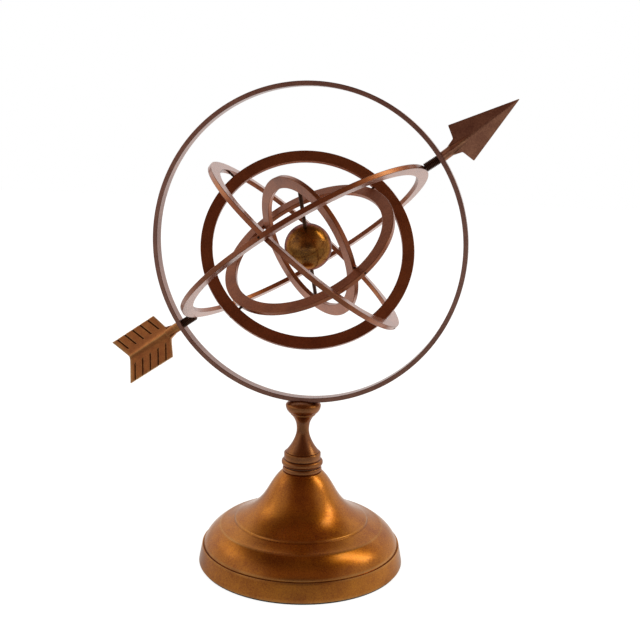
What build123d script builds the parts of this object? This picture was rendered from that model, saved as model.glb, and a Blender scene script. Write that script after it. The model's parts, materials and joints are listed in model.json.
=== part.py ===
"""Armillary sphere: a fixed hoop on a turned stand, an arrow through it, five flat rings that
turn one inside the other, and a globe in the middle.

Millimetres. +Z is up, the origin is on the resting plane under the middle of the base, and the
hoop faces -Y. The arrow points up and to the right.
"""
import os
from itertools import accumulate
from math import radians, sin, cos

from build123d import *

# Hoop, bent from strip, and the flat rings, cut from plate
hoop_radius = 127.0
strip_width = 9.5
strip_thick = 3.7
ring_width = 9.5
ring_thick = 3.7
edge_break = 0.5
globe_radius = 18.8

# Gaps in one plane, from the hoop inwards
ring_gaps = (12.4, 4.3, 2.9, 2.2, 3.3)

# How the set stands: slope of the arrow, and the turn of each ring about its own pins
arrow_slope = 34.1
ring_turns = (-8.9, 73.5, 118.2, 140.2, 105.5)
axle_skew = -8.0
arrow_rise = 0.9

# Fits
running_gap = 0.05
end_play = 0.3
stem_gap = 0.15
slack_ring = 3
slack_left = 0.35

# Pivots
pivot_radius = 2.0
spigot_radius = 1.2
pin_radius = 1.0
pin_seat = 5.0
hole_spare = 0.5
pin_bevel = 0.3
axle_radius = 1.55
spacer_radius = 3.6

# Base, a hollow spun shell on a felt disc
felt_thick = 1.2
felt_inset = 0.8
base_wall = 2.0
rim_radius = 84.5
rim_height = 15.6
rim_top_radius = 81.7
rim_round = 0.8
groove_depth = 1.4
groove_width = 1.4
shoulder_radius = 67.0
shoulder_height = 31.1
shoulder_bulge = (1.1, 0.9)
bell_foot_radius = 54.5
bell_foot_height = 36.8
bell_groove = 0.8
bell_seat_radius = 16.4
bell_seat_height = 76.6
bell_foot_lean = (27.3, 12.6)
bell_seat_lean = (14.0, 12.8)
ceiling_thick = 5.0
ceiling_radius = 10.0

# Collar, a turned ring with a bead
collar_height = 16.2
collar_radius = 15.5
collar_neck = 15.1
bead_radius = 17.05
bead_width = 4.8
lower_ring_height = 4.0
lower_ring_bulge = 0.6
collar_gap = 1.2
band_round = 0.7

# Baluster
baluster_height = 32.5
baluster_foot = 13.8
waist_radius = 5.05
waist_height = 18.9
foot_pull = (10.5, 3.8)
waist_pull = (6.8, 5.1)
neck_pull = (6.2, 27.7)
baluster_top = 9.8
lip_height = 0.9
lip_radius = 10.2

# Saddle, the bun that the hoop sits on
saddle_height = 10.1
saddle_foot = 10.4
saddle_radius = 14.4
saddle_widest = 7.0
saddle_crown = 0.6
saddle_belly = (12.9, 3.4)
saddle_brow = (8.9, 9.4)

# Tie rod, washer and nut
rod_radius = 2.5
rod_tail = 3.0
washer_radius = 6.0
washer_thick = 1.0
nut_flats = 8.0
nut_thick = 4.0

# Arrow head, measured from the hoop's outer face along the arrow
shank_radius = 3.9
head_length = 69.0
head_lean = 4.4
barb_station = 16.6
barb_half_width = 16.6
head_corner = 13.6
head_corner_half = 6.2
head_ridge_thick = 5.2
head_edge_thick = 1.3
head_tip_thick = 1.0
head_tip_half = 0.3
corner_fillet = 2.6
corner_match = 0.01

# Arrow tail, measured the same way
tail_length = 62.3
tail_roll = 18.0
tail_half_width = 19.7
tail_shoulder = 17.6
tail_shoulder_half = 19.2
tail_corner = 12.2
tail_corner_half = 5.6
notch_station = 52.6
tail_thick = 2.4
tail_spine_radius = 1.9
groove_count = 5
groove_pitch = 8.2
first_groove = 5.4
groove_half_width = 1.0
groove_cut = 0.6
groove_inner = 6.4

# Heights that follow
base_z = felt_thick
collar_z = base_z + bell_seat_height
baluster_z = collar_z + collar_height
saddle_z = baluster_z + baluster_height
hoop_z = saddle_z + saddle_height + hoop_radius
ceiling_z = collar_z - ceiling_thick
hoop_inner = hoop_radius - strip_thick
ring_radii = [hoop_inner + ring_width - taken for taken in
              accumulate(gap + ring_width for gap in ring_gaps)]
slack = ring_gaps[slack_ring - 1] - slack_left

parts = {}


# Small makers

def turned(outline):
    """Revolve a closed outline, given as radius and height, about the upright axis."""
    return revolve(make_face(Plane.XZ * outline), Axis.Z)


def along(plane, direction):
    """Plane whose upright axis runs along a direction of another plane, from its origin."""
    way = plane.x_dir * direction[0] + plane.y_dir * direction[1]
    return Plane(origin=plane.origin, z_dir=way.normalized())


def plain_ring(radius, wall, height):
    """Ring of a rectangular section, round the upright axis, with its edges broken."""
    ring = Cylinder(radius, height) - Cylinder(radius - wall, height)
    return chamfer(ring.edges().filter_by(GeomType.CIRCLE), edge_break)


def facing_holes(plane, direction, radius, start, end):
    """Two rods on one line, each from start to end, to cut a pair of facing holes."""
    rod = Pos(0, 0, (start + end) / 2) * Cylinder(radius, end - start)
    line = along(plane, direction)
    return line * rod + line * Rot(180, 0, 0) * rod


def straight_pin(tip, end):
    """Pin along the upright axis, with its outer end bevelled."""
    return turned(Polyline((0, tip), (pin_radius, tip), (pin_radius, end),
                           (pin_radius - pin_bevel, end + pin_bevel), (0, end + pin_bevel), close=True))


# Directions of the arrow and of each ring: x along the pins that carry it, y along those it
# carries, z across the flat ring

hoop_centre = Vector(0, 0, hoop_z)
arrow_way = Vector(cos(radians(arrow_slope)), 0, sin(radians(arrow_slope)))
arrow_up = Vector(-sin(radians(arrow_slope)), 0, cos(radians(arrow_slope)))
ring_centre = hoop_centre + arrow_up * arrow_rise
rings = []
way, normal, centre = arrow_way, arrow_up, ring_centre
for number, turn in enumerate(ring_turns, start=1):
    normal = normal.rotate(Axis((0, 0, 0), way), turn)
    if number == slack_ring:
        centre = centre - way * slack
    rings.append(Plane(origin=centre, x_dir=way, z_dir=normal))
    way = rings[-1].y_dir
axle_way = (sin(radians(axle_skew)), cos(radians(axle_skew)))


# Stand

def base_shell():
    """Hollow base: a flared rim, a groove, a sloping shoulder, a shelf and a bell."""
    rim, top = (rim_radius, rim_round), (rim_top_radius, rim_height)
    step = rim_top_radius - groove_depth
    shoulder_foot = (step, rim_height + groove_width / 2)
    shoulder = (shoulder_radius, shoulder_height)
    middle = ((shoulder_foot[0] + shoulder[0]) / 2 + shoulder_bulge[0],
              (shoulder_foot[1] + shoulder[1]) / 2 + shoulder_bulge[1])
    foot = (bell_foot_radius, bell_foot_height)
    dip = (foot[0] + bell_groove, foot[1] - bell_groove)
    lead = (foot[0] - bell_foot_lean[0], foot[1] + bell_foot_lean[1])
    tail = (bell_seat_radius + bell_seat_lean[0], bell_seat_height - bell_seat_lean[1])
    seat = (bell_seat_radius, bell_seat_height)
    inside = [(r - base_wall, z - base_wall) for r, z in (foot, lead, tail, seat)]
    ceiling = bell_seat_height - ceiling_thick
    bore = rod_radius + stem_gap

    outline = Polyline((rim_radius - 2 * base_wall, 0), (rim_radius - rim_round, 0), rim, top,
                       (step, top[1] - groove_width / 2), shoulder_foot)
    outline += ThreePointArc(shoulder_foot, middle, shoulder)
    outline += Polyline(shoulder, dip, foot)
    outline += Bezier(foot, lead, tail, seat)
    outline += Polyline(seat, (bore, seat[1]), (bore, ceiling), (ceiling_radius, ceiling),
                        (inside[3][0], ceiling - base_wall / 2), inside[2])
    outline += Polyline(inside[2], inside[1], inside[0],
                        (shoulder_radius - base_wall, shoulder_height - base_wall),
                        (step - 2 * base_wall, rim_height), (rim_radius - 2 * base_wall, 0))
    return Pos(0, 0, base_z) * turned(outline)


def collar():
    """Ring with a rounded foot, a bead and a plain band, between the bell and the baluster."""
    bore = rod_radius + stem_gap
    foot_top = lower_ring_height
    bead_foot = foot_top + collar_gap
    bead_top = bead_foot + bead_width
    outline = Polyline((bore, 0), (collar_radius, 0))
    outline += ThreePointArc((collar_radius, 0), (collar_radius + lower_ring_bulge, foot_top / 2),
                             (collar_radius, foot_top))
    outline += Polyline((collar_radius, foot_top), (collar_neck, foot_top), (collar_neck, bead_foot),
                        (collar_radius, bead_foot))
    outline += ThreePointArc((collar_radius, bead_foot), (bead_radius, (bead_foot + bead_top) / 2),
                             (collar_radius, bead_top))
    outline += Polyline((collar_radius, bead_top), (collar_neck, bead_top + band_round),
                        (collar_neck, collar_height - band_round))
    outline += Line((collar_neck, collar_height - band_round),
                    (collar_neck - band_round, collar_height))
    outline += Polyline((collar_neck - band_round, collar_height), (bore, collar_height), (bore, 0))
    return Pos(0, 0, collar_z) * turned(outline)


def baluster():
    """Waisted stem with a flared foot and a small lip at its top."""
    bore = rod_radius + stem_gap
    waist = (waist_radius, waist_height)
    neck = baluster_height - lip_height
    outline = Line((bore, 0), (baluster_foot, 0))
    outline += Bezier((baluster_foot, 0), foot_pull, (waist_radius, waist_height - waist_pull[0]),
                      waist)
    outline += Bezier(waist, (waist_radius, waist_height + waist_pull[1]), neck_pull,
                      (baluster_top, neck))
    outline += Polyline((baluster_top, neck), (lip_radius, neck), (lip_radius, baluster_height),
                        (bore, baluster_height), (bore, 0))
    return Pos(0, 0, baluster_z) * turned(outline)


def saddle():
    """Flattened bun whose crown is cut to the hoop's curve."""
    bore = rod_radius + stem_gap
    crown = saddle_height + saddle_crown
    outline = Line((bore, 0), (saddle_foot, 0))
    outline += ThreePointArc((saddle_foot, 0), saddle_belly, (saddle_radius, saddle_widest))
    outline += ThreePointArc((saddle_radius, saddle_widest), saddle_brow, (bore, crown))
    outline += Line((bore, crown), (bore, 0))
    bun = Pos(0, 0, saddle_z) * turned(outline)
    return bun - hoop_plane * Cylinder(hoop_radius, 4 * saddle_radius)


hoop_plane = Plane(origin=hoop_centre, x_dir=(1, 0, 0), z_dir=(0, -1, 0))
arrow_plane = Plane(origin=ring_centre, x_dir=arrow_way, z_dir=arrow_way.cross(arrow_up))
tail_plane = Plane(origin=ring_centre, x_dir=-arrow_way, z_dir=(-arrow_way).cross(arrow_up))
hoop_solid = hoop_plane * Cylinder(hoop_radius, 4 * strip_width)
hoop_hollow = hoop_plane * Cylinder(hoop_inner, 4 * strip_width)

nut_z = ceiling_z - washer_thick - nut_thick
rod_foot = nut_z - rod_tail
rod = Pos(0, 0, rod_foot) * Cylinder(rod_radius, hoop_z - rod_foot - hoop_inner / 2,
                                     align=(Align.CENTER, Align.CENTER, Align.MIN))

parts["base_felt"] = Cylinder(rim_radius - rim_round - felt_inset, felt_thick,
                              align=(Align.CENTER, Align.CENTER, Align.MIN))
parts["base_shell"] = base_shell()
parts["collar"] = collar()
parts["baluster"] = baluster()
parts["saddle"] = saddle()
parts["tie_rod"] = rod - hoop_hollow
parts["tie_washer"] = Pos(0, 0, ceiling_z - washer_thick / 2) * (
    Cylinder(washer_radius, washer_thick) - Cylinder(rod_radius + stem_gap, washer_thick))
parts["tie_nut"] = Pos(0, 0, nut_z) * extrude(
    RegularPolygon(nut_flats / 2, 6, major_radius=False) - Circle(rod_radius), nut_thick)


# Hoop

arrow_holes = facing_holes(arrow_plane, (1, 0), pivot_radius + running_gap,
                           hoop_inner - strip_thick, hoop_radius + strip_thick)
parts["hoop"] = (hoop_plane * plain_ring(hoop_radius, strip_thick, strip_width)
                 - arrow_holes - rod)


# Arrow: each end carries a pivot that goes through the hoop and a spacer into the first ring

def pivot():
    """Pivot along x, with a thinner spigot that sits in the first ring's edge."""
    tip = ring_radii[0] - pin_seat
    shoulder = ring_radii[0] + end_play
    outline = Polyline((0, tip), (spigot_radius, tip), (spigot_radius, shoulder),
                       (pivot_radius, shoulder), (pivot_radius, hoop_radius), (0, hoop_radius),
                       close=True)
    return Rot(0, 90, 0) * turned(outline)


def flat_outline(points, corners):
    """Flat outline on both sides of the x axis, with its inner corners filleted."""
    mirrored = [(x, -y) for x, y in reversed(points) if y > 0]
    face = make_face(Polyline(*points, *mirrored, close=True))
    near = [v for v in face.vertices()
            if any(abs(v.X - x) < corner_match and abs(abs(v.Y) - y) < corner_match
                   for x, y in corners)]
    return fillet(near, corner_fillet)


def tapered_shank(reach, end_radius):
    """Round shank along x that starts inside the hoop's wall and tapers into the blade."""
    straight = head_corner / 2
    outline = Polyline((0, -strip_thick), (shank_radius, -strip_thick), (shank_radius, straight),
                       (end_radius, reach), (0, reach), close=True)
    return Rot(0, 90, 0) * turned(outline)


def blade_section(half_width, ridge, edge):
    """Flat diamond with blunt edges, across the x axis."""
    side = [(half_width, edge / 2), (0, ridge / 2), (-half_width, edge / 2)]
    return Polyline(*side, *[(y, -z) for y, z in reversed(side)], close=True)


def arrow_head():
    """Broad head with a ridge along each face, and two barbs."""
    slope = barb_half_width / (head_length - barb_station)
    start = head_corner / 2
    wide = slope * (head_length - start)
    back = Plane(origin=(start, 0, 0), x_dir=(0, 1, 0), z_dir=(1, 0, 0))
    front = Plane(origin=(head_length, 0, 0), x_dir=(0, 1, 0), z_dir=(1, 0, 0))
    wedge = loft([make_face(back * blade_section(wide, head_ridge_thick, head_edge_thick)),
                  make_face(front * blade_section(head_tip_half, head_tip_thick, head_tip_thick / 2))],
                 ruled=True)
    corner = (head_corner, head_corner_half)
    face = flat_outline([(-strip_thick, shank_radius), (start, shank_radius), corner,
                         (barb_station, barb_half_width), (head_length, head_tip_half)], [corner])
    plate = extrude(face, amount=2 * shank_radius, both=True)
    return plate & (wedge + tapered_shank(head_length / 2, head_edge_thick))


def arrow_tail():
    """Flat vane with a notched end, a spine, and slanting grooves on both faces."""
    corner = (tail_corner, tail_corner_half)
    face = flat_outline([(-strip_thick, shank_radius), (tail_corner / 2, shank_radius), corner,
                         (tail_shoulder, tail_shoulder_half), (tail_length, tail_half_width),
                         (notch_station, 0)], [corner])
    plate = extrude(face, amount=2 * shank_radius, both=True)
    board = Pos(tail_length / 2, 0, 0) * Box(tail_length, 3 * tail_half_width, tail_thick)
    vane = plate & (board + tapered_shank(tail_length, tail_spine_radius))
    lean = (tail_length - notch_station) / tail_half_width
    length = 2 * tail_half_width
    for count in range(groove_count):
        edge_x = tail_length - first_groove - count * groove_pitch
        for side in (1, -1):
            start = Vector(edge_x - lean * (tail_half_width - groove_inner), side * groove_inner, 0)
            run = Vector(lean, side, 0).normalized()
            for top in (1, -1):
                middle = start + run * (length / 2) + Vector(0, 0, top * tail_thick / 2)
                place = Plane(origin=middle, x_dir=(0, 0, 1), z_dir=run)
                section = Polyline((-groove_cut, 0), (0, groove_half_width), (groove_cut, 0),
                                   (0, -groove_half_width), close=True)
                vane -= place * extrude(make_face(section), amount=length / 2, both=True)
    return Rot(tail_roll, 0, 0) * vane


outside = Pos(hoop_radius, 0, 0)
parts["arrow_head"] = (arrow_plane * outside * Rot(0, 0, head_lean) * arrow_head() - hoop_solid
                       + arrow_plane * pivot())
parts["arrow_tail"] = tail_plane * outside * arrow_tail() - hoop_solid + tail_plane * pivot()
spacer_length = hoop_radius - ring_radii[0] - end_play
for name, plane in (("head_spacer", arrow_plane), ("tail_spacer", tail_plane)):
    tube = Cylinder(spacer_radius, spacer_length) - Cylinder(pivot_radius + running_gap, spacer_length)
    tube = Pos(ring_radii[0] + end_play + spacer_length / 2, 0, 0) * Rot(0, 90, 0) * tube
    parts[name] = plane * tube & hoop_hollow


# Rings, and the pins that each ring carries for the next one

hole_depth = pin_seat + hole_spare
for number, (radius, plane) in enumerate(zip(ring_radii, rings), start=1):
    spigot = spigot_radius if number == 1 else pin_radius
    play = slack if number == slack_ring else 0
    ring = plane * plain_ring(radius, ring_width, ring_thick)
    ring -= facing_holes(plane, (1, 0), spigot + running_gap, radius - hole_depth - play,
                         radius + ring_width)
    if number == len(rings):
        inner = radius - ring_width
        ring -= facing_holes(plane, axle_way, pin_radius + running_gap, inner - ring_width,
                             inner + hole_depth)
        parts[f"ring_{number}"] = ring
        break
    parts[f"ring_{number}"] = ring - facing_holes(plane, (0, 1), pin_radius, 0, radius + ring_width)
    for letter, side in (("a", 1), ("b", -1)):
        pin = straight_pin(ring_radii[number] - pin_seat, radius)
        parts[f"ring_{number + 1}_pin_{letter}"] = along(plane, (0, side)) * pin


# Globe on its axle

axle_plane = along(rings[-1], axle_way)
axle_reach = ring_radii[-1] - ring_width
parts["globe"] = axle_plane * (Sphere(globe_radius) - Cylinder(axle_radius, 2 * globe_radius))
parts["globe_axle"] = axle_plane * (Cylinder(pin_radius, 2 * (axle_reach + pin_seat))
                                    + Cylinder(axle_radius, 2 * (axle_reach - end_play)))


os.makedirs("parts", exist_ok=True)
for name, shape in parts.items():
    shape.label = name
    export_step(shape, f"parts/{name}.step")
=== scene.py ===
"""Antique brass armillary sphere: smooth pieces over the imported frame, their finishes and a studio."""
import json
from math import atan2, cos, pi, radians, sin, sqrt, tau

import bmesh
import bpy
from bpy.props import FloatProperty, FloatVectorProperty, PointerProperty
from bpy.types import Operator, Panel, PropertyGroup
from mathutils import Matrix, Vector
from mathutils.geometry import interpolate_bezier


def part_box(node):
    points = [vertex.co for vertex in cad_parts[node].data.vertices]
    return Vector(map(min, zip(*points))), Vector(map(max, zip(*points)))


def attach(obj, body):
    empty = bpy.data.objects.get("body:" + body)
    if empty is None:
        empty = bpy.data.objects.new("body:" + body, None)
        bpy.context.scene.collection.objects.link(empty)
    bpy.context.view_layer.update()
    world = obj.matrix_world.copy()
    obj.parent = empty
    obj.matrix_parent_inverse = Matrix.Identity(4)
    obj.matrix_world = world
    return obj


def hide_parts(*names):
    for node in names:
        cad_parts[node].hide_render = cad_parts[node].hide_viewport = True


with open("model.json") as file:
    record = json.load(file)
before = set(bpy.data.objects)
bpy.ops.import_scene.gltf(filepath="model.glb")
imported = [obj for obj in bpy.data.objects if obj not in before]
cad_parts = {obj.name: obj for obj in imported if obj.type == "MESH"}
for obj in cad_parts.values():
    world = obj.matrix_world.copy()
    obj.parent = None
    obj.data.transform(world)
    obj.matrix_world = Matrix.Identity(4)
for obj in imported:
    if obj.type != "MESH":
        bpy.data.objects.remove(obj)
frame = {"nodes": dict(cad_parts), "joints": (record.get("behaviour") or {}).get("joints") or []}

bl_info = {
    "name": "Armillary sphere",
    "version": (1, 0, 0),
    "blender": (4, 5, 0),
    "location": "View3D > Sidebar > Armillary",
    "description": "Models the stand, rings, arrow and globe of an antique brass armillary sphere",
    "category": "Add Mesh",
}

MM = 0.001
# Steps round a full turn, and the angles over which an edge is rounded or shaded as sharp
RING_STEPS, BASE_STEPS, FELT_STEPS, TURNED_STEPS, THREAD_STEPS, ROD_STEPS = 256, 192, 128, 96, 48, 32
ROUND_ANGLE, SHARP_ANGLE = radians(28), radians(32)
# What the lamps aim at, and how far off they stand
LAMP_TARGET, LAMP_DISTANCE = Vector((0, 0, 0.2)), 1.4
RINGS = ("ring_1", "ring_2", "ring_3", "ring_4", "ring_5")
HOOP_LOW, HOOP_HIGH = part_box("hoop")
PIVOTS = {joint["child"]: (Vector(joint["pos_m"]), Vector(joint["axis"])) for joint in frame["joints"]}


# Sizes and colours that a user would change


def linear(code):
    """Turn an sRGB hex colour to linear red, green and blue."""
    shares = [int(code[place:place + 2], 16) / 255 for place in (1, 3, 5)]
    return tuple(c / 12.92 if c <= 0.04045 else ((c + 0.055) / 1.055) ** 2.4 for c in shares)


def length(name, description, size):
    """Property for a length given in millimetres."""
    return FloatProperty(name=name, description=description, default=size * MM, min=0, unit="LENGTH",
                         precision=4)


def colour(name, description, code):
    """Property for a colour given as an sRGB hex code."""
    return FloatVectorProperty(name=name, description=description, default=linear(code), size=3,
                               min=0, max=1, subtype="COLOR")


class StandSizes(PropertyGroup):
    rim_radius: length("Rim radius", "Outer radius of the base at its foot", 84.5)
    rim_top_radius: length("Rim top radius", "Radius of the rim's upper edge", 81.7)
    rim_height: length("Rim height", "Height of the rim above the felt", 15.6)
    groove: length("Groove", "Depth and width of the groove above the rim", 1.4)
    shoulder_radius: length("Shoulder radius", "Radius of the shoulder's upper edge", 67)
    shoulder_height: length("Shoulder height", "Height of the shoulder's upper edge", 31.1)
    bell_radius: length("Bell radius", "Radius of the bell at its foot", 54.5)
    bell_height: length("Bell foot height", "Height of the bell's foot", 36.8)
    seat_radius: length("Seat radius", "Radius of the bell's flat top", 16.4)
    seat_height: length("Seat height", "Height of the bell's flat top", 76.6)
    felt_thick: length("Felt thickness", "Thickness of the felt disc", 1.2)
    collar_height: length("Collar height", "Height of the collar", 16.2)
    collar_radius: length("Collar radius", "Radius of the collar's plain band", 15.1)
    bead_radius: length("Bead radius", "Radius of the collar's bead", 17.05)
    baluster_height: length("Baluster height", "Height of the waisted stem", 32.5)
    baluster_foot: length("Baluster foot", "Radius of the stem's foot", 13.8)
    waist_radius: length("Waist radius", "Radius of the stem at its waist", 5.05)
    saddle_height: length("Saddle height", "Height of the bun under the hoop", 10.1)
    saddle_radius: length("Saddle radius", "Widest radius of the bun", 14.4)


class RingSizes(PropertyGroup):
    strip_width: length("Strip width", "Width of the strip that the hoop is bent from", 9.5)
    strip_thick: length("Strip thickness", "Thickness of that strip", 3.7)
    ring_width: length("Ring width", "Width of a flat ring, across its face", 9.5)
    ring_thick: length("Ring thickness", "Thickness of the plate that the rings are cut from", 3.7)
    edge_round: length("Edge rounding", "Radius of the rounded edges", 0.35)
    hoop_radius: FloatProperty(name="Hoop radius", description="Outer radius of the fixed hoop",
                               default=(HOOP_HIGH.z - HOOP_LOW.z) / 2, min=0, unit="LENGTH")
    radii: FloatVectorProperty(name="Ring radii", description="Outer radii of the rings, outermost first",
                               default=[size * MM for size in (110.9, 97.1, 84.7, 73, 60.2)], size=5,
                               min=0, unit="LENGTH")
    globe_radius: length("Globe radius", "Radius of the globe", 18.8)


class PinSizes(PropertyGroup):
    pin_radius: length("Pin radius", "Radius of the pins that the inner rings turn on", 1.0)
    pin_seat: length("Pin seat", "How far a pin reaches into the ring that turns on it", 5.0)
    stand_proud: length("Stand proud", "How far a pin's outer end stands out of its ring", 0.3)
    axle_radius: length("Axle radius", "Radius of the globe's axle between globe and ring", 1.55)
    pivot_radius: length("Pivot radius", "Radius of the arrow's pivots", 2.0)
    spigot_radius: length("Spigot radius", "Radius of the pivots' thin ends", 1.2)
    end_play: length("End play", "Gap between a shoulder and the ring that turns on it", 0.3)
    spacer_radius: length("Spacer radius", "Radius of the threaded spacers", 3.6)
    thread_pitch: length("Thread pitch", "Distance between the spacers' thread crests", 1.25)
    thread_depth: length("Thread depth", "Depth of the spacers' thread", 0.45)


class ArrowSizes(PropertyGroup):
    shank_radius: length("Shank radius", "Radius of both shanks", 3.9)
    head_length: length("Head length", "Length of the head outside the hoop", 69)
    barb_half_width: length("Barb half width", "Half of the head's width at its barbs", 16.6)
    tail_length: length("Tail length", "Length of the tail outside the hoop", 62.3)
    tail_half_width: length("Tail half width", "Half of the tail's width at its end", 19.7)
    notch_station: length("Notch", "Distance of the notch from the hoop", 52.6)
    tail_thick: length("Tail thickness", "Thickness of the tail's vane", 2.4)
    groove_pitch: length("Groove pitch", "Distance between the feather grooves", 8.2)
    groove_depth: length("Groove depth", "Depth of the feather grooves", 0.6)
    head_lean: FloatProperty(name="Head lean", description="Angle between the head and the arrow's line",
                             default=radians(4.4), subtype="ANGLE")
    tail_roll: FloatProperty(name="Tail roll", description="Turn of the tail about the arrow's line",
                             default=radians(18), subtype="ANGLE")


class FinishColours(PropertyGroup):
    spun_light: colour("Spun brass", "Clean part of the base", "#c67c20")
    spun_dark: colour("Spun brass patina", "Darkened part of the base", "#8c460a")
    turned_light: colour("Turned brass", "Clean part of the stem", "#9a6236")
    turned_dark: colour("Turned brass patina", "Darkened part of the stem", "#784626")
    hoop_light: colour("Hoop brass", "Clean part of the hoop", "#a07260")
    hoop_dark: colour("Hoop brass patina", "Darkened part of the hoop", "#805548")
    strip_light: colour("Plate brass", "Clean part of the rings", "#ac6640")
    strip_dark: colour("Plate brass patina", "Darkened part of the rings", "#8a4c2e")
    strip_edge: colour("Strip brass edge", "Darker line along the hoop's and rings' edges", "#5e3824")
    cast_light: colour("Cast brass", "Clean part of the arrow head", "#b07c60")
    cast_dark: colour("Cast brass patina", "Darkened part of the arrow head", "#8a5a46")
    vane_light: colour("Engraved brass", "Clean part of the arrow tail", "#b5733f")
    vane_dark: colour("Engraved brass patina", "Darkened part of the arrow tail", "#935632")
    globe_light: colour("Globe brass", "Clean part of the globe", "#b4762a")
    globe_dark: colour("Globe brass patina", "Darkened part of the globe", "#44200e")
    worn: colour("Worn edge", "Bright brass that shows along handled edges", "#d8b070")
    # Painted shade, with dark dirt, that darkens grooves and corners
    grime_and_shade: colour("Grime", "Dark wax and dirt in grooves and corners", "#1e0f08")
    blackened_light: colour("Blackened brass", "Pins, axle and spacers", "#2a2320")
    blackened_dark: colour("Blackened brass patina", "Darkest part of those", "#1e0f08")
    steel: colour("Plated steel", "Hidden rod, washer and nut", "#9a9c9e")
    felt: colour("Felt", "Disc under the base", "#1d2a22")


class StudioSettings(PropertyGroup):
    lens: FloatProperty(name="Lens", description="Focal length of the camera in millimetres",
                        default=53.14, min=1)
    camera_place: FloatVectorProperty(name="Camera place", description="Where the camera stands",
                                      default=(0.1559, -0.7314, 0.3355), subtype="TRANSLATION",
                                      unit="LENGTH")
    camera_turn: FloatVectorProperty(name="Camera turn", description="Yaw, pitch and roll of the camera",
                                     default=(0.1939, 0.1741, 0.0223), unit="ROTATION")
    key_power: FloatProperty(name="Key power", description="Power of the tall lamp on the right",
                             default=4.2, min=0, unit="POWER")
    fill_power: FloatProperty(name="Fill power", description="Power of the wide lamp on the left",
                              default=0.85, min=0, unit="POWER")
    floor_span: FloatProperty(name="Floor span", description="Width of the pale floor", default=12,
                              min=1, unit="LENGTH")
    floor_colour: colour("Floor", "Colour of the pale floor", "#f4f2f0")
    lamp_colour: colour("Lamps", "Colour of the lamps", "#fff6b8")
    dark_side: colour("Dark side", "What the metal mirrors over and before it", "#846350")
    room: colour("Room", "Dark room round the camera, mirrored in the metal", "#54484f")


# Nodes and finishes


def add(tree, kind, inputs=(), **settings):
    """Add a node with its settings, and set or link its inputs, given by name or number."""
    node = tree.nodes.new(kind)
    for key, value in settings.items():
        setattr(node, key, value)
    for key, value in dict(inputs).items():
        if isinstance(value, bpy.types.NodeSocket):
            tree.links.new(value, node.inputs[key])
        else:
            node.inputs[key].default_value = value
    return node


def opaque(rgb):
    """Colour with full alpha."""
    return (*rgb, 1)


def new_finish(name):
    """Empty node material, or None where the finish has been made before."""
    if name in bpy.data.materials:
        return None
    material = bpy.data.materials.new(name)
    material.use_nodes = True
    material.node_tree.nodes.clear()
    return material


# Each brass: name, colour of its rubbed edges, sizes of its patches and pores in mm, roughness from
# smooth to pitted, weight of its lacquer, and the tint of what it mirrors at a glancing angle
BRASSES = {
    # Base: spun and lacquered, golden brown, with a browner sheen at its sides
    "spun": ("spun_antique_brass", "worn", 26, 0.9, (0.26, 0.36), 0.5, (0.62, 0.5, 0.4)),
    # Stem: turned on a lathe, under a thicker reddish brown patina
    "turned": ("turned_antique_brass", "spun_light", 9, 0.7, (0.3, 0.4), 0.5, (0.5, 0.36, 0.28)),
    # Hoop: strip bent to a circle, under a purplish brown patina
    "hoop": ("bent_antique_brass", "strip_edge", 14, 0.8, (0.34, 0.46), 0.6, (1, 1, 1)),
    # Rings: cut from rolled plate, coppery brown, with a darker line along their edges
    "strip": ("rolled_antique_brass", "strip_edge", 14, 0.8, (0.34, 0.46), 0.6, (1, 1, 1)),
    # Arrow head: cast and filed, under a dull purplish patina
    "cast": ("cast_antique_brass", "worn", 8, 0.9, (0.28, 0.4), 0.1, (1, 1, 1)),
    # Arrow tail: warmer, and dark in its feather grooves, where shade and dirt are painted
    "vane": ("engraved_antique_brass", "worn", 8, 0.9, (0.34, 0.46), 0.1, (1, 1, 1)),
    # Globe: polished, olive gold, with cloudy darker patches
    "globe": ("polished_antique_brass", "worn", 16, 0.6, (0.2, 0.28), 0.3, (0.3, 0.2, 0.15)),
    # Pins, axle and spacers: blackened in a chemical bath, nearly black and half matt
    "blackened": ("blackened_brass", "turned_dark", 3, 0.4, (0.3, 0.45), 0.2, (1, 1, 1)),
}


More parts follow.
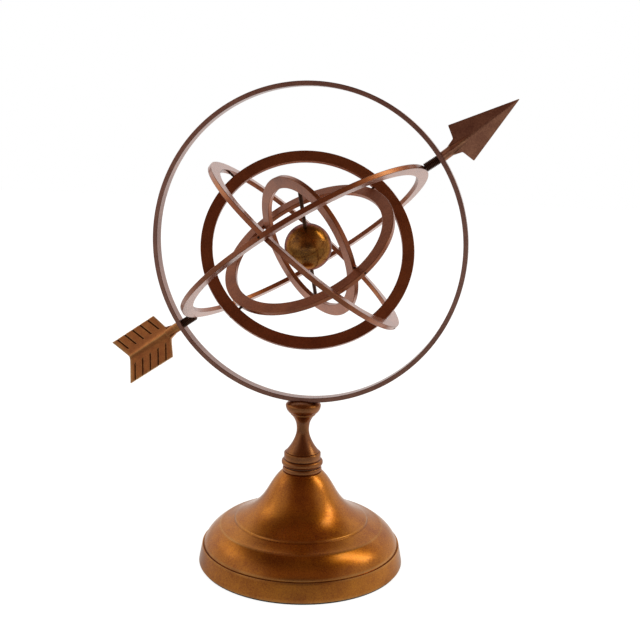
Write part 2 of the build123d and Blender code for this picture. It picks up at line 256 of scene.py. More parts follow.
def aged_brass(colours, kind):
    """Brass darkened by patina: clouds of two tones, worn edges, and dark dirt with painted shade in the
    hollows.
    """
    name, edge_colour, patch, grain, roughness, coat, sheen = BRASSES[kind]
    material = new_finish(name)
    if material is None:
        return bpy.data.materials[name]
    light, dark = getattr(colours, kind + "_light"), getattr(colours, kind + "_dark")
    tree = material.node_tree
    place = add(tree, "ShaderNodeTexCoord").outputs["Object"]
    # Patches of patina, some millimetres wide, with a speckle over them that is drawn coarser than
    # the real one, so that it shows
    clouds = add(tree, "ShaderNodeTexNoise", {"Vector": place, "Scale": 1 / (patch * MM), "Detail": 5,
                                              "Roughness": 0.6})
    specks = add(tree, "ShaderNodeTexNoise", {"Vector": place, "Scale": 1 / (1.1 * MM), "Detail": 2,
                                              "Roughness": 0.7})
    both = add(tree, "ShaderNodeMath", {0: specks.outputs["Fac"], 1: 0.9, 2: clouds.outputs["Fac"]},
               operation="MULTIPLY_ADD")
    patina = add(tree, "ShaderNodeMapRange", {"Value": both.outputs[0], "From Min": 0.66,
                                              "From Max": 1.24})
    tones = add(tree, "ShaderNodeMix", {0: patina.outputs["Result"], 6: opaque(dark), 7: opaque(light)},
                data_type="RGBA")
    # Scratches and pores; real ones are a few hundredths of a millimetre, too fine to show
    pores = add(tree, "ShaderNodeTexNoise", {"Vector": place, "Scale": 1 / (grain * MM), "Detail": 3,
                                             "Roughness": 0.65})
    # This attribute is above zero on outer edges, where wear shows, and below zero in hollows, where shade
    # and dirt are painted
    wear_and_shade = add(tree, "ShaderNodeAttribute", attribute_name="wear_and_shade").outputs["Fac"]
    edges = add(tree, "ShaderNodeMapRange", {"Value": wear_and_shade, "From Min": 0.15, "From Max": 0.9,
                                             "To Max": 0.6})
    rubbed = add(tree, "ShaderNodeMath", {0: edges.outputs["Result"], 1: clouds.outputs["Fac"]},
                 operation="MULTIPLY")
    bright = add(tree, "ShaderNodeMix", {0: rubbed.outputs[0], 6: tones.outputs[2],
                                         7: opaque(getattr(colours, edge_colour))},
                 data_type="RGBA")
    # Painted shade, with dark dirt, in grooves and corners where the surface bends in
    hollows = add(tree, "ShaderNodeMapRange", {"Value": wear_and_shade, "From Min": -0.15, "From Max": -0.8,
                                               "To Max": 0.75})
    dirt_and_shade = add(tree, "ShaderNodeMix", {0: hollows.outputs["Result"], 6: bright.outputs[2],
                                        7: opaque(colours.grime_and_shade)}, data_type="RGBA")
    rough = add(tree, "ShaderNodeMapRange", {"Value": pores.outputs["Fac"], "From Min": 0.3,
                                             "From Max": 0.7, "To Min": roughness[0],
                                             "To Max": roughness[1]})
    relief = add(tree, "ShaderNodeBump", {"Strength": 0.12, "Distance": 0.15 * MM,
                                          "Height": pores.outputs["Fac"]})
    shader = add(tree, "ShaderNodeBsdfPrincipled", {
        "Base Color": dirt_and_shade.outputs[2], "Metallic": 1.0, "Roughness": rough.outputs["Result"],
        "Specular Tint": opaque(sheen), "Coat Weight": coat, "Coat Roughness": 0.2,
        "Normal": relief.outputs["Normal"]})
    add(tree, "ShaderNodeOutputMaterial", {"Surface": shader.outputs[0]})
    return material


def plated_steel(colours):
    """Tie rod, washer and nut: zinc plated steel, hidden inside the stand."""
    material = new_finish("zinc_plated_steel")
    if material is None:
        return bpy.data.materials["zinc_plated_steel"]
    tree = material.node_tree
    place = add(tree, "ShaderNodeTexCoord").outputs["Object"]
    spangle = add(tree, "ShaderNodeTexVoronoi", {"Vector": place, "Scale": 1 / (1.5 * MM)})
    rough = add(tree, "ShaderNodeMapRange", {"Value": spangle.outputs["Distance"], "To Min": 0.28,
                                             "To Max": 0.42})
    shader = add(tree, "ShaderNodeBsdfPrincipled", {
        "Base Color": opaque(colours.steel), "Metallic": 1.0, "Roughness": rough.outputs["Result"]})
    add(tree, "ShaderNodeOutputMaterial", {"Surface": shader.outputs[0]})
    return material


def pressed_felt(colours):
    """Felt disc: pressed wool, dark green, with fibres about a fifth of a millimetre thick."""
    material = new_finish("pressed_wool_felt")
    if material is None:
        return bpy.data.materials["pressed_wool_felt"]
    tree = material.node_tree
    place = add(tree, "ShaderNodeTexCoord").outputs["Object"]
    fibres = add(tree, "ShaderNodeTexNoise", {"Vector": place, "Scale": 1 / (0.5 * MM), "Detail": 4,
                                              "Distortion": 1.5})
    tones = add(tree, "ShaderNodeMix", {0: fibres.outputs["Fac"],
                                        6: opaque([c * 0.6 for c in colours.felt]),
                                        7: opaque([min(1, c * 1.5) for c in colours.felt])},
                data_type="RGBA")
    nap = add(tree, "ShaderNodeBump", {"Strength": 0.5, "Distance": 0.2 * MM,
                                       "Height": fibres.outputs["Fac"]})
    shader = add(tree, "ShaderNodeBsdfPrincipled", {
        "Base Color": tones.outputs[2], "Roughness": 0.95, "Sheen Weight": 0.4,
        "Normal": nap.outputs["Normal"]})
    add(tree, "ShaderNodeOutputMaterial", {"Surface": shader.outputs[0]})
    return material


# Making pieces


def spaced(outline, step):
    """Outline with points put in, so that no run is longer than the step."""
    points = []
    for start, end in zip(outline, outline[1:]):
        start, end = Vector(start), Vector(end)
        count = max(1, round((end - start).length / step))
        points += [start.lerp(end, number / count) for number in range(count)]
    return points + [Vector(outline[-1])]


def bent(start, pull_start, pull_end, end, count=14):
    """Points along a curve that leaves its ends towards two pull points."""
    corners = [Vector((*point, 0)) for point in (start, pull_start, pull_end, end)]
    return [(point.x, point.y) for point in interpolate_bezier(*corners, count)]


def lathe(outline, steps, closed=False):
    """Spin an outline of radii and heights a full turn about z."""
    bm = bmesh.new()
    verts = [bm.verts.new((radius, 0, height)) for radius, height in outline]
    pairs = list(zip(verts, verts[1:]))
    if closed:
        pairs.append((verts[-1], verts[0]))
    edges = [bm.edges.new(pair) for pair in pairs]
    bmesh.ops.spin(bm, geom=verts + edges, cent=(0, 0, 0), axis=(0, 0, 1), angle=tau, steps=steps,
                   use_merge=True)
    bmesh.ops.remove_doubles(bm, verts=bm.verts, dist=0.001 * MM)
    bmesh.ops.recalc_face_normals(bm, faces=bm.faces)
    return bm


def round_edges(bm, size, segments=3):
    """Round each outer or inner edge that turns by more than a set angle."""
    sharp = [edge for edge in bm.edges if edge.is_manifold and edge.calc_face_angle() > ROUND_ANGLE]
    bmesh.ops.bevel(bm, geom=sharp, offset=size, offset_type="OFFSET", segments=segments, profile=0.5,
                    affect="EDGES", material=-1)


def mark_wear_and_shade(bm):
    """Store at each point how far its edges bend out, or in where it is below zero: the mask for worn
    edges and for painted shade in hollows.
    """
    layer = bm.verts.layers.float.new("wear_and_shade")
    for vert in bm.verts:
        vert[layer] = sum(edge.calc_face_angle_signed(0) for edge in vert.link_edges if edge.is_manifold)


def set_down(bm, name, place, material, body, nodes):
    """Make an object of a finished shape, and let it ride on its body in place of its solids."""
    bm.transform(place)
    bm.normal_update()
    mark_wear_and_shade(bm)
    mesh = bpy.data.meshes.new(name)
    bm.to_mesh(mesh)
    bm.free()
    mesh.shade_smooth()
    mesh.set_sharp_from_angle(angle=SHARP_ANGLE)
    mesh.materials.append(material)
    piece = bpy.data.objects.new(name, mesh)
    bpy.context.scene.collection.objects.link(piece)
    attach(piece, body)
    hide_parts(*nodes)
    return piece


def axes_at(origin, x_way, z_way):
    """Matrix that lays a shape down with its x and z along two ways at right angles."""
    y_way = z_way.cross(x_way)
    return Matrix.Translation(origin) @ Matrix((x_way, y_way, z_way)).transposed().to_4x4()


def ring_place(body):
    """Place of a ring: x along its own pins, z along its normal."""
    centre, way = PIVOTS[body]
    carried = (*RINGS, "globe")[RINGS.index(body) + 1]
    return axes_at(centre, way, way.cross(PIVOTS[carried][1]).normalized())


def standing(place, way):
    """Place whose z runs along a way, from the origin of another place."""
    turn = Vector((0, 0, 1)).rotation_difference(way)
    return Matrix.Translation(place.translation) @ turn.to_matrix().to_4x4()


def plain_ring(radius, wall, height, edge):
    """Ring of a rectangular section with rounded edges."""
    half, inner, band = height / 2, radius - wall, 2 * edge
    outline = [(inner, -half), (inner + band, -half), (radius - band, -half), (radius, -half),
               (radius, band - half), (radius, half - band), (radius, half), (radius - band, half),
               (inner + band, half), (inner, half), (inner, half - band), (inner, band - half)]
    bm = lathe(outline, RING_STEPS, closed=True)
    round_edges(bm, edge)
    return bm


# Stand


def stand_heights(stand):
    """Heights of the base, collar, baluster and saddle above the resting plane."""
    base = stand.felt_thick
    collar = base + stand.seat_height
    baluster = collar + stand.collar_height
    return base, collar, baluster, baluster + stand.baluster_height


class ARMILLARY_OT_base(Operator):
    """Spun base with its felt disc"""

    bl_idname = "armillary.base"
    bl_label = "Base"

    def execute(self, context):
        scene = context.scene
        stand, colours = scene.armillary_stand, scene.armillary_colours
        base_z = stand_heights(stand)[0]
        rim_round, step = 0.8 * MM, stand.rim_top_radius - stand.groove
        foot = (stand.bell_radius, stand.bell_height)
        seat = (stand.seat_radius, stand.seat_height)
        dip = (foot[0] + 0.5 * MM, foot[1] - 1.5 * MM)
        shoulder = (stand.shoulder_radius, stand.shoulder_height)
        shoulder_foot = (step, stand.rim_height + stand.groove / 2)
        # The pull points bow the shoulder out from its straight line
        low = Vector(shoulder_foot).lerp(Vector(shoulder), 0.38) + Vector((2.2, 1.6)) * MM
        high = Vector(shoulder_foot).lerp(Vector(shoulder), 0.7) + Vector((1.3, 1.0)) * MM
        outline = spaced([(0, 0), (stand.rim_radius - rim_round, 0), (stand.rim_radius, rim_round),
                          (stand.rim_top_radius, stand.rim_height),
                          (step, stand.rim_height - stand.groove / 2), shoulder_foot], 2.5 * MM)[:-1]
        outline += bent(shoulder_foot, low, high, shoulder, 12)[:-1]
        outline += bent(shoulder, (shoulder[0] - 4 * MM, shoulder[1] + 0.9 * MM),
                        (dip[0] + 4 * MM, dip[1] - 1.6 * MM), dip, 9)
        outline += bent(foot, (foot[0] - 27.3 * MM, foot[1] + 12.6 * MM),
                        (seat[0] + 14.0 * MM, seat[1] - 12.8 * MM), seat, 30)
        outline += [(0, stand.seat_height)]
        bm = lathe(outline, BASE_STEPS)
        round_edges(bm, 0.35 * MM)
        set_down(bm, "spun_base", Matrix.Translation((0, 0, base_z)), aged_brass(colours, "spun"), "stand",
                 ["base_shell"])
        radius = stand.rim_radius - 1.6 * MM
        bm = lathe([(0, 0), (radius, 0), (radius, stand.felt_thick), (0, stand.felt_thick)], FELT_STEPS)
        set_down(bm, "felt_disc", Matrix(), pressed_felt(colours), "stand", ["base_felt"])
        return {"FINISHED"}


class ARMILLARY_OT_stem(Operator):
    """Collar, baluster, saddle and the rod that holds them"""

    bl_idname = "armillary.stem"
    bl_label = "Stem"

    def execute(self, context):
        scene = context.scene
        stand, colours = scene.armillary_stand, scene.armillary_colours
        base_z, collar_z, baluster_z, saddle_z = stand_heights(stand)
        metal = aged_brass(colours, "turned")
        band = stand.collar_radius
        ring = band + 0.4 * MM
        bulge = stand.bead_radius - ring
        outline = [(0, 0), *bent((ring, 0), (ring + 0.8 * MM, 0.8 * MM), (ring + 0.8 * MM, 3.2 * MM),
                                 (ring, 4 * MM), 8)]
        outline += [(band - 0.3 * MM, 4.2 * MM), (band - 0.3 * MM, 5 * MM)]
        pull = ring + 1.33 * bulge
        outline += bent((ring, 5.2 * MM), (pull, 5.4 * MM), (pull, 9.8 * MM), (ring, 10 * MM), 12)
        outline += [(band - 0.2 * MM, 10.2 * MM), (band, 10.9 * MM), (band, 13 * MM), (band, 15.5 * MM),
                    (band - 0.7 * MM, stand.collar_height), (0, stand.collar_height)]
        bm = lathe(outline, TURNED_STEPS)
        round_edges(bm, 0.15 * MM, segments=2)
        set_down(bm, "turned_collar", Matrix.Translation((0, 0, collar_z)), metal, "stand", ["collar"])

        foot, waist, top = stand.baluster_foot, stand.waist_radius, 9.8 * MM
        neck = stand.baluster_height - 0.9 * MM
        outline = [(0, 0), (foot, 0), (foot, 0.35 * MM)]
        outline += bent((foot, 0.4 * MM), (10.5 * MM, 3.8 * MM), (waist, 12.1 * MM),
                        (waist, 18.9 * MM), 16)
        outline += bent((waist, 18.9 * MM), (waist, 24 * MM), (6.2 * MM, 27.7 * MM), (top, neck), 12)[1:]
        outline += [(top + 0.4 * MM, neck), (top + 0.4 * MM, stand.baluster_height),
                    (0, stand.baluster_height)]
        bm = lathe(outline, TURNED_STEPS)
        round_edges(bm, 0.2 * MM, segments=2)
        set_down(bm, "turned_baluster", Matrix.Translation((0, 0, baluster_z)), metal, "stand",
                 ["baluster"])

        wide, crown = stand.saddle_radius, stand.saddle_height + 0.5 * MM
        outline = [(0, 0), (10.4 * MM, 0)]
        outline += bent((10.4 * MM, 0.1 * MM), (12 * MM, 0.8 * MM), (wide, 3.6 * MM), (wide, 7 * MM), 12)
        outline += bent((wide, 7 * MM), (wide, 9.2 * MM), (0.6 * wide, crown + 0.8 * MM),
                        (0, crown + MM), 14)[1:]
        bm = lathe(outline, TURNED_STEPS)
        set_down(bm, "turned_saddle", Matrix.Translation((0, 0, saddle_z)), metal, "stand", ["saddle"])

        low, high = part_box("tie_rod")
        outline = [(0, low.z), (2.5 * MM, low.z), (2.5 * MM, high.z - MM), (0, high.z - MM)]
        bm = lathe(outline, ROD_STEPS)
        round_edges(bm, 0.3 * MM)
        set_down(bm, "threaded_rod", Matrix(), plated_steel(colours), "stand", ["tie_rod"])
        for node in ("tie_washer", "tie_nut"):
            frame["nodes"][node].data.materials.clear()
            frame["nodes"][node].data.materials.append(plated_steel(colours))
        return {"FINISHED"}


# Hoop, rings and globe


class ARMILLARY_OT_rings(Operator):
    """Fixed hoop and the rings that turn inside it"""

    bl_idname = "armillary.rings"
    bl_label = "Hoop and rings"

    def execute(self, context):
        scene = context.scene
        sizes, colours = scene.armillary_rings, scene.armillary_colours
        centre = (HOOP_LOW + HOOP_HIGH) / 2
        place = axes_at(centre, Vector((1, 0, 0)), Vector((0, -1, 0)))
        bm = plain_ring(sizes.hoop_radius, sizes.strip_thick, sizes.strip_width, sizes.edge_round)
        set_down(bm, "hoop_strip", place, aged_brass(colours, "hoop"), "stand", ["hoop"])
        for body, radius in zip(RINGS, sizes.radii):
            bm = plain_ring(radius, sizes.ring_width, sizes.ring_thick, sizes.edge_round)
            metal = aged_brass(colours, "strip")
            set_down(bm, body + "_plate", ring_place(body), metal, body, [body])
        return {"FINISHED"}


class ARMILLARY_OT_pins(Operator):
    """Pins that the inner rings turn on"""

    bl_idname = "armillary.pins"
    bl_label = "Pins"

    def execute(self, context):
        scene = context.scene
        sizes, pins = scene.armillary_rings, scene.armillary_pins
        metal = aged_brass(scene.armillary_colours, "blackened")
        thick, proud = pins.pin_radius, pins.stand_proud
        for carrier, carried, outer, inner in zip(RINGS, RINGS[1:], sizes.radii, sizes.radii[1:]):
            outline = [(0, inner - pins.pin_seat), (thick, inner - pins.pin_seat), (thick, outer),
                       (thick - proud, outer + proud), (0, outer + proud)]
            place = ring_place(carrier)
            for letter, side in (("a", 1), ("b", -1)):
                bm = lathe(outline, ROD_STEPS)
                round_edges(bm, 0.1 * MM, segments=2)
                set_down(bm, f"{carried}_rod_{letter}", standing(place, place.to_3x3().col[1] * side),
                         metal, carrier, [f"{carried}_pin_{letter}"])
        return {"FINISHED"}


class ARMILLARY_OT_globe(Operator):
    """Globe on its axle"""

    bl_idname = "armillary.globe"
    bl_label = "Globe"

    def execute(self, context):
        scene = context.scene
        sizes, pins, colours = scene.armillary_rings, scene.armillary_pins, scene.armillary_colours
        centre, way = PIVOTS["globe"]
        place = standing(Matrix.Translation(centre), way)
        bm = bmesh.new()
        bmesh.ops.create_uvsphere(bm, u_segments=96, v_segments=64, radius=sizes.globe_radius)
        set_down(bm, "globe_ball", place, aged_brass(colours, "globe"), "globe", ["globe"])
        inner = sizes.radii[4] - sizes.ring_width
        tip, shoulder = inner + pins.pin_seat, inner - pins.end_play
        thin, thick = pins.pin_radius, pins.axle_radius
        outline = [(0, -tip), (thin, -tip), (thin, -shoulder), (thick, -shoulder), (thick, shoulder),
                   (thin, shoulder), (thin, tip), (0, tip)]
        bm = lathe(outline, ROD_STEPS)
        round_edges(bm, 0.12 * MM, segments=2)
        metal = aged_brass(colours, "blackened")
        set_down(bm, "globe_axle_rod", place, metal, "globe", ["globe_axle"])
        return {"FINISHED"}


# Arrow


def loft(stations, section, count):
    """Carry a loop of points along x, shape it at each station, and close both ends."""
    bm = bmesh.new()
    turn = bm.verts.layers.float.new("turn")
    made = bmesh.ops.create_circle(bm, segments=count, radius=1)["verts"]
    for vert in made:
        vert[turn] = atan2(vert.co.y, vert.co.x)
        vert.co = section(stations[0], vert[turn])
    loop = list(bm.edges)
    for station in stations[1:]:
        made = bmesh.ops.extrude_edge_only(bm, edges=loop)["geom"]
        fresh = [item for item in made if isinstance(item, bmesh.types.BMVert)]
        for vert in fresh:
            vert.co = section(station, vert[turn])
        fresh = set(fresh)
        loop = [edge for edge in made if isinstance(edge, bmesh.types.BMEdge)
                and set(edge.verts) <= fresh]
    bmesh.ops.holes_fill(bm, edges=[edge for edge in bm.edges if edge.is_boundary])
    bmesh.ops.recalc_face_normals(bm, faces=bm.faces)
    return bm


def soft_max(one, other, power=8):
    """Larger of two heights, with a soft change from one to the other."""
    return (one ** power + other ** power) ** (1 / power)


def half_width(outline, station):
    """Half width of an outline of stations and half widths, at one station."""
    for (x0, y0), (x1, y1) in zip(outline, outline[1:]):
        if station <= x1:
            return y0 + (y1 - y0) * (station - x0) / (x1 - x0)
    return outline[-1][1]


def skin_point(station, y, height, turn):
    """Point of a section: the upper half for turns above zero, and on the middle plane at the ends."""
    if abs(sin(turn)) <= 0.001:
        height = 0
    return Vector((station, y, height if turn > 0.001 else -height))


def arrow_place(side):
    """Place of the head (1) or tail (-1), with x outwards along the arrow from the rings' centre."""
    centre, way = PIVOTS["ring_1"]
    return axes_at(centre, way * side, Vector((0, -side, 0)))


class ARMILLARY_OT_arrow_head(Operator):
    """Barbed arrow head with a ridge"""

    bl_idname = "armillary.arrow_head"
    bl_label = "Arrow head"

    def execute(self, context):
        scene = context.scene
        arrow, sizes = scene.armillary_arrow, scene.armillary_rings
        shank, barb, reach = arrow.shank_radius, arrow.barb_half_width, arrow.head_length
        start, corner = 6.8 * MM, (13.6 * MM, 6.2 * MM)
        barb_x, tip_half = 16.6 * MM, 0.3 * MM
        outline = [(-3 * MM, shank), (start, shank), (12.3 * MM, 5.76 * MM)]
        outline += bent((12.3 * MM, 5.76 * MM), corner, corner, (14 * MM, 7.5 * MM), 7)[1:]
        outline += [(barb_x - 0.25 * MM, barb - 0.55 * MM), (barb_x + 0.15 * MM, barb - 0.05 * MM),
                    (barb_x + 0.8 * MM, barb - 0.25 * MM), (reach, tip_half)]
        slope = barb / (reach - barb_x)

        def section(station, turn):
            wide = half_width(outline, station)
            y = wide * cos(turn)
            share = min(1, max(0, (station - start) / (reach - start)))
            # Half thickness at the ridge and at the edge, in mm, from the shank's end to the tip
            ridge, edge = 2.6 + share * (0.5 - 2.6), 0.65 + share * (0.25 - 0.65)
            soft = (sqrt(y * y + (0.5 * MM) ** 2) - 0.5 * MM) / max(slope * (reach - station), tip_half)
            blade = MM * (ridge + (edge - ridge) * min(1, soft))
            cone = shank + (0.65 * MM - shank) * min(1, max(0, (station - start) / (27.7 * MM)))
            stem = sqrt(max(0, cone * cone - y * y))
            if station > start:
                height = soft_max(blade, stem) if stem > 0 else blade
            else:
                height = stem
            return skin_point(station, y, height, turn)

        stations = [point[0] for point in outline]
        stations[1:1] = [start * share for share in (0, 0.4, 0.8)]
        body = [barb_x + 0.8 * MM + (reach - barb_x - 0.8 * MM) * number / 30 for number in range(1, 31)]
        neck = [start + (12.3 * MM - start) * number / 6 for number in range(1, 6)]
        back = [14 * MM + (barb_x - 14.25 * MM) * number / 5 for number in range(1, 5)]
        stations = sorted({round(x, 7) for x in stations + body + neck + back})
        bm = loft(stations, section, TURNED_STEPS)
        place = arrow_place(1) @ Matrix.Translation((sizes.hoop_radius, 0, 0)) @ Matrix.Rotation(
            arrow.head_lean, 4, "Z")
        set_down(bm, "arrow_head_blade", place, aged_brass(scene.armillary_colours, "cast"), "stand",
                 ["arrow_head"])
        return {"FINISHED"}


class ARMILLARY_OT_arrow_tail(Operator):
    """Feathered arrow tail with slanting grooves"""

    bl_idname = "armillary.arrow_tail"
    bl_label = "Arrow tail"

    def execute(self, context):
        scene = context.scene
        arrow, sizes = scene.armillary_arrow, scene.armillary_rings
        shank, wide, reach, notch = (arrow.shank_radius, arrow.tail_half_width, arrow.tail_length,
                                     arrow.notch_station)
        half = arrow.tail_thick / 2
        lean = (reach - notch) / wide
        back_lean, back_x = 0.397, 9.98 * MM
        groove_half, groove_inner, first = 1.0 * MM, 6.4 * MM, 5.4 * MM
        centres = [first + number * arrow.groove_pitch for number in range(5)]

        def spine(station):
            return shank + (1.9 * MM - shank) * min(1, max(0, (station - 6.8 * MM) / (reach - 6.8 * MM)))

        outline = [(-3 * MM, shank), (6.1 * MM, shank), (11 * MM, 5.25 * MM)]
        outline += bent((11 * MM, 5.25 * MM), (12.2 * MM, 5.6 * MM), (12.2 * MM, 5.6 * MM),
                        (12.7 * MM, 6.8 * MM), 6)[1:]
        outline += [(13.25 * MM, 8 * MM)]

        def neck(station, turn):
            y = half_width(outline, station) * cos(turn)
            height = sqrt(max(0, spine(station) ** 2 - y * y))
            if station > 6.1 * MM:
                height = max(height, half - 0.03 * MM)
            return skin_point(station, y, height, turn)

        stations = [point[0] for point in outline] + [6.1 * MM + 0.8 * MM * n for n in range(1, 6)]
        bm = loft(sorted(stations), neck, 64)

        # The vane is a grid: its rows keep a distance from the notched end, its columns run out
        rows = [0, 0.15 * MM, 0.5 * MM]
        for centre in centres:
            rows += [centre + groove_half * share for share in (-1.4, -1, -0.55, 0, 0.55, 1, 1.4)]
        last = rows[-1]
        leads = [0.35, 0.7, 0.9, 0.97, 1]
        spread = [0.6 * MM * number for number in range(11)] + [6.4 * MM, 6.9 * MM, 7.6 * MM]
        spread += [9.2 * MM + 1.85 * MM * number for number in range(6)]
        spread = sorted(set(spread)) + [wide - 0.5 * MM, wide - 0.15 * MM, wide]
        columns = [-y for y in reversed(spread[1:])] + spread
        grid_x, grid_y = len(rows) + len(leads) - 1, len(columns) - 1
        sheet = bmesh.new()
        bmesh.ops.create_grid(sheet, x_segments=grid_x, y_segments=grid_y, size=1)
        for vert in sheet.verts:
            row = round((vert.co.x + 1) / 2 * grid_x)
            y = columns[round((vert.co.y + 1) / 2 * grid_y)]
            y_out = abs(y)
            end = notch + lean * y_out
            begin = back_x + back_lean * y_out
            if row < len(rows):
                x = end - rows[row]
                near_end = rows[row]
                in_groove = min(abs(rows[row] - centre) for centre in centres)
            else:
                share = leads[row - len(rows)]
                x = (end - last) * (1 - share) + begin * share
                near_end, in_groove = MM, groove_half
            near = min(near_end, wide - y_out, x - begin)
            height = half - 0.4 * MM * max(0, 1 - near / (0.5 * MM)) ** 2
            ramp = min(1, max(0, (y_out - groove_inner) / (1.2 * MM)))
            height -= arrow.groove_depth * ramp * max(0, 1 - in_groove / groove_half)
            crown = spine(x)
            vert.co = (x, y, height + (crown - half) / (1 + (y / (0.8 * crown)) ** 2) ** 1.5)
        twin = bmesh.ops.duplicate(sheet, geom=sheet.verts[:] + sheet.edges[:] + sheet.faces[:])["geom"]
        under = [item for item in twin if isinstance(item, bmesh.types.BMVert)]
        bmesh.ops.scale(sheet, vec=(1, 1, -1), verts=under)
        rims = [edge for edge in sheet.edges if edge.is_boundary]
        bmesh.ops.bridge_loops(sheet, edges=rims)
        bmesh.ops.recalc_face_normals(sheet, faces=sheet.faces)
        vane = bpy.data.meshes.new("vane")
        sheet.to_mesh(vane)
        sheet.free()
        bm.from_mesh(vane)
        bpy.data.meshes.remove(vane)
        place = arrow_place(-1) @ Matrix.Translation((sizes.hoop_radius, 0, 0)) @ Matrix.Rotation(
            arrow.tail_roll, 4, "X")
        set_down(bm, "arrow_tail_vane", place, aged_brass(scene.armillary_colours, "vane"), "stand",
                 ["arrow_tail"])
        return {"FINISHED"}


class ARMILLARY_OT_spacers(Operator):
    """Threaded spacers and the arrow's pivots"""

    bl_idname = "armillary.spacers"
    bl_label = "Spacers"

    def execute(self, context):
        scene = context.scene
        sizes, pins = scene.armillary_rings, scene.armillary_pins
        metal = aged_brass(scene.armillary_colours, "blackened")
        start, end = sizes.radii[0] + pins.end_play, sizes.hoop_radius - sizes.strip_thick / 2
        crest, root = pins.spacer_radius, pins.spacer_radius - pins.thread_depth
        outline = [(0, start), (root, start)]
        count = int((end - start) / pins.thread_pitch)
        for number in range(count):
            low = start + number * pins.thread_pitch
            outline += bent((root, low + 0.15 * MM), (crest + 0.1 * MM, low + 0.3 * pins.thread_pitch),
                            (crest + 0.1 * MM, low + 0.7 * pins.thread_pitch),
                            (root, low + pins.thread_pitch - 0.05 * MM), 7)
        outline += [(root, end), (0, end)]
        tip, thin = sizes.radii[0] - pins.pin_seat, pins.spigot_radius
        pivot = [(0, tip), (thin, tip), (thin, start), (pins.pivot_radius, start),
                 (pins.pivot_radius, start + MM), (0, start + MM)]
        for name, side in (("head", 1), ("tail", -1)):
            place = arrow_place(side)
            stand = standing(place, place.to_3x3().col[0])
            set_down(lathe(outline, THREAD_STEPS), name + "_threaded_spacer", stand, metal, "stand",
                     [name + "_spacer"])
            bm = lathe(pivot, ROD_STEPS)
            round_edges(bm, 0.15 * MM, segments=2)
            set_down(bm, name + "_pivot", stand, metal, "stand", [f"arrow_{name}"])
        return {"FINISHED"}


# Studio


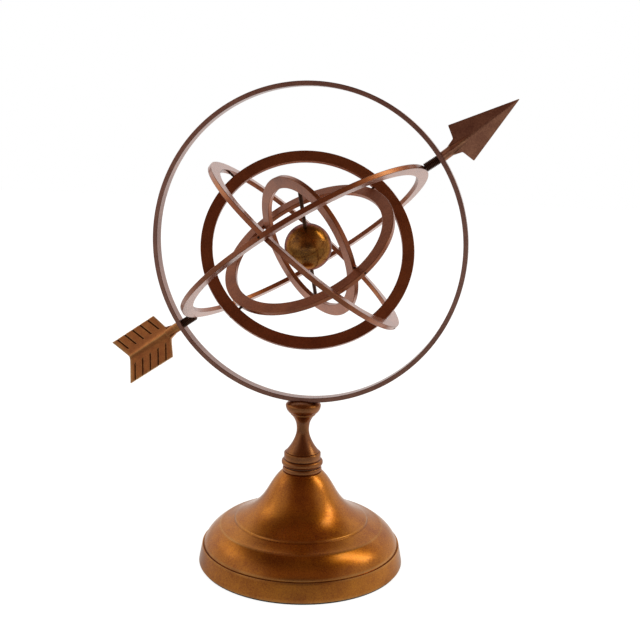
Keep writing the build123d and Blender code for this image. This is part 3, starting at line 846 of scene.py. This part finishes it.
class ARMILLARY_OT_stage(Operator):
    """Pale floor, soft lamps, white background and the camera"""

    bl_idname = "armillary.stage"
    bl_label = "Studio"

    def execute(self, context):
        scene = context.scene
        studio = scene.armillary_studio
        bm = bmesh.new()
        bmesh.ops.create_grid(bm, x_segments=1, y_segments=1, size=studio.floor_span / 2)
        mesh = bpy.data.meshes.new("pale_floor")
        bm.to_mesh(mesh)
        bm.free()
        floor = bpy.data.objects.new("pale_floor", mesh)
        scene.collection.objects.link(floor)
        mesh.materials.append(self.floor_paint(studio))
        self.white_tent(scene, studio)
        yaw, pitch, roll = studio.camera_turn
        turn = (Matrix.Rotation(yaw, 4, "Z") @ Matrix.Rotation(pi / 2 - pitch, 4, "X")
                @ Matrix.Rotation(roll, 4, "Z"))
        data = bpy.data.cameras.new("photo_camera")
        data.lens, data.sensor_width, data.clip_start = studio.lens, 36, 0.01
        camera = bpy.data.objects.new("photo_camera", data)
        camera.matrix_world = Matrix.Translation(studio.camera_place) @ turn
        scene.collection.objects.link(camera)
        scene.camera = camera
        scene.view_settings.view_transform = "Standard"
        right, front = Vector((cos(yaw), sin(yaw), 0)), Vector((sin(yaw), -cos(yaw), 0))
        # Each lamp stands so far to the right, to the front and up, and has a width and a height
        for name, aside, ahead, up, power, width, height in (
                ("key_lamp", 0.725, -0.061, 0.66, studio.key_power, 0.3, 0.95),
                ("fill_lamp", -0.84, -0.25, 0.5, studio.fill_power, 0.7, 0.5)):
            lamp = bpy.data.lights.new(name, "AREA")
            lamp.shape, lamp.size, lamp.size_y, lamp.energy = "RECTANGLE", width, height, power
            lamp.color = studio.lamp_colour
            holder = bpy.data.objects.new(name, lamp)
            way = right * aside + front * ahead + Vector((0, 0, up))
            holder.location = LAMP_TARGET + way.normalized() * LAMP_DISTANCE
            holder.rotation_euler = (LAMP_TARGET - holder.location).to_track_quat("-Z", "Y").to_euler()
            scene.collection.objects.link(holder)
        return {"FINISHED"}

    @staticmethod
    def floor_paint(studio):
        """Matt pale floor that a camera sees as white, with the object's shadow; metal and glass see it
        with painted shade close in front of the base.
        """
        material = new_finish("pale_matt_paint")
        tree = material.node_tree
        paint = add(tree, "ShaderNodeBsdfDiffuse", {"Color": opaque(studio.floor_colour)})
        shade = add(tree, "ShaderNodeBsdfDiffuse", {"Color": (0.35, 0.35, 0.35, 1)})
        # Painted shade: metal sees the floor darker close in front of the base and at its sides, in place
        # of the base's shadow there
        path = add(tree, "ShaderNodeLightPath")
        place = add(tree, "ShaderNodeTexCoord").outputs["Object"]
        spot = add(tree, "ShaderNodeSeparateXYZ", {0: place})
        near = add(tree, "ShaderNodeMapRange", {"Value": spot.outputs[1], "From Min": -0.2,
                                                "From Max": 0.12, "To Min": 0.08, "To Max": 0.86})
        far = add(tree, "ShaderNodeMapRange", {"Value": spot.outputs[1], "From Min": -0.7,
                                               "From Max": -1.5, "To Min": 0.0, "To Max": 0.5})
        beside = add(tree, "ShaderNodeMath", {0: spot.outputs[0]}, operation="ABSOLUTE")
        beside = add(tree, "ShaderNodeMapRange", {"Value": beside.outputs[0], "From Min": 0.2,
                                                  "From Max": 0.5, "To Min": 1.0, "To Max": 0.5})
        near = add(tree, "ShaderNodeMath", {0: near.outputs["Result"], 1: beside.outputs["Result"]},
                   operation="MULTIPLY")
        ahead = add(tree, "ShaderNodeMath", {0: near.outputs[0], 1: far.outputs["Result"]},
                    operation="MAXIMUM")
        strength = add(tree, "ShaderNodeMix", {0: path.outputs["Is Camera Ray"], 2: ahead.outputs[0],
                                               3: 0.86})
        glow = add(tree, "ShaderNodeEmission", {"Color": (1, 1, 1, 1), "Strength": strength.outputs[0]})
        seen = add(tree, "ShaderNodeAddShader", {0: shade.outputs[0], 1: glow.outputs[0]})
        looked = path.outputs["Is Camera Ray"]
        for ray in ("Is Glossy Ray", "Is Transmission Ray"):
            looked = add(tree, "ShaderNodeMath", {0: looked, 1: path.outputs[ray]},
                         operation="MAXIMUM").outputs[0]
        both = add(tree, "ShaderNodeMixShader", {0: looked, 1: paint.outputs[0],
                                                 2: seen.outputs[0]})
        add(tree, "ShaderNodeOutputMaterial", {"Surface": both.outputs[0]})
        return material

    @staticmethod
    def white_tent(scene, studio):
        """World: white behind the object and at its sides, darker over and before it."""
        world = bpy.data.worlds.new("white_tent")
        world.use_nodes = True
        scene.world = world
        tree = world.node_tree
        tree.nodes.clear()
        yaw = studio.camera_turn[0]
        way = add(tree, "ShaderNodeTexCoord").outputs["Generated"]
        right, back = (cos(yaw), sin(yaw), 0), (-sin(yaw), cos(yaw), -0.45)
        # Each side grows white from where it starts to where it is full, up to its share
        lit = 0
        for axis, start, full, most in ((right, 0.5, 0.9, 0.5), (right, -0.4, -0.95, 0.65),
                                        (back, 0, 0.45, 1)):
            along = add(tree, "ShaderNodeVectorMath", {0: way, 1: axis}, operation="DOT_PRODUCT")
            side = add(tree, "ShaderNodeMapRange", {"Value": along.outputs["Value"], "From Min": start,
                                                    "From Max": full, "To Max": most},
                       interpolation_type="SMOOTHSTEP")
            lit = add(tree, "ShaderNodeMath", {0: lit, 1: side.outputs["Result"]},
                      operation="MAXIMUM").outputs[0]
        tent = add(tree, "ShaderNodeMix", {0: lit, 6: opaque(studio.dark_side), 7: (1, 1, 1, 1)},
                   data_type="RGBA")
        # Less light straight above, and the dark room round the camera
        height = add(tree, "ShaderNodeSeparateXYZ", {0: way}).outputs[2]
        above = add(tree, "ShaderNodeMapRange", {"Value": height, "From Min": 0.6, "From Max": 0.95,
                                                 "To Min": 1.0, "To Max": 0.5},
                    interpolation_type="SMOOTHSTEP")
        tent = add(tree, "ShaderNodeVectorMath", {0: tent.outputs[2], 3: above.outputs["Result"]},
                   operation="SCALE")
        ahead = add(tree, "ShaderNodeVectorMath", {0: way, 1: (sin(yaw), -cos(yaw), 0.12)},
                    operation="DOT_PRODUCT")
        room = add(tree, "ShaderNodeMapRange", {"Value": ahead.outputs["Value"], "From Min": 0.85,
                                                "From Max": 0.99, "To Max": 0.9},
                   interpolation_type="SMOOTHSTEP")
        tent = add(tree, "ShaderNodeMix", {0: room.outputs["Result"], 6: tent.outputs[0],
                                           7: opaque(studio.room)}, data_type="RGBA")
        path = add(tree, "ShaderNodeLightPath")
        mirror = add(tree, "ShaderNodeMath", {0: path.outputs["Is Glossy Ray"],
                                              1: path.outputs["Is Transmission Ray"]},
                     operation="MAXIMUM")
        seen = add(tree, "ShaderNodeMix", {0: mirror.outputs[0], 6: (0.7, 0.7, 0.7, 1),
                                           7: tent.outputs[2]}, data_type="RGBA")
        shown = add(tree, "ShaderNodeMix", {0: path.outputs["Is Camera Ray"], 6: seen.outputs[2],
                                            7: (1, 1, 1, 1)}, data_type="RGBA")
        light = add(tree, "ShaderNodeBackground", {"Color": shown.outputs[2], "Strength": 1.0})
        add(tree, "ShaderNodeOutputWorld", {"Surface": light.outputs[0]})


class ARMILLARY_PT_sidebar(Panel):
    """Pieces, sizes and colours of the armillary sphere"""

    bl_idname = "ARMILLARY_PT_sidebar"
    bl_label = "Armillary sphere"
    bl_space_type = "VIEW_3D"
    bl_region_type = "UI"
    bl_category = "Armillary"

    def draw(self, context):
        column = self.layout.column(align=True)
        for operator in OPERATORS:
            column.operator(operator.bl_idname)
        for title, group in GROUPS.items():
            box = self.layout.box()
            box.label(text=title.capitalize())
            settings = getattr(context.scene, "armillary_" + title)
            for field in group.__annotations__:
                box.prop(settings, field)


OPERATORS = (ARMILLARY_OT_base, ARMILLARY_OT_stem, ARMILLARY_OT_rings, ARMILLARY_OT_pins,
             ARMILLARY_OT_globe, ARMILLARY_OT_arrow_head, ARMILLARY_OT_arrow_tail,
             ARMILLARY_OT_spacers, ARMILLARY_OT_stage)
GROUPS = {"stand": StandSizes, "rings": RingSizes, "pins": PinSizes, "arrow": ArrowSizes,
          "colours": FinishColours, "studio": StudioSettings}


def register():
    for group in GROUPS.values():
        bpy.utils.register_class(group)
    for title, group in GROUPS.items():
        setattr(bpy.types.Scene, "armillary_" + title, PointerProperty(type=group))
    for part in (*OPERATORS, ARMILLARY_PT_sidebar):
        bpy.utils.register_class(part)


def unregister():
    for part in reversed((*OPERATORS, ARMILLARY_PT_sidebar)):
        bpy.utils.unregister_class(part)
    for title in GROUPS:
        delattr(bpy.types.Scene, "armillary_" + title)
    for group in reversed(GROUPS.values()):
        bpy.utils.unregister_class(group)


def main():
    """Make every piece and the studio."""
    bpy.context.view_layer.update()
    register()
    for operator in OPERATORS:
        family, name = operator.bl_idname.split(".")
        getattr(getattr(bpy.ops, family), name)()


if __name__ == "__main__":
    main()
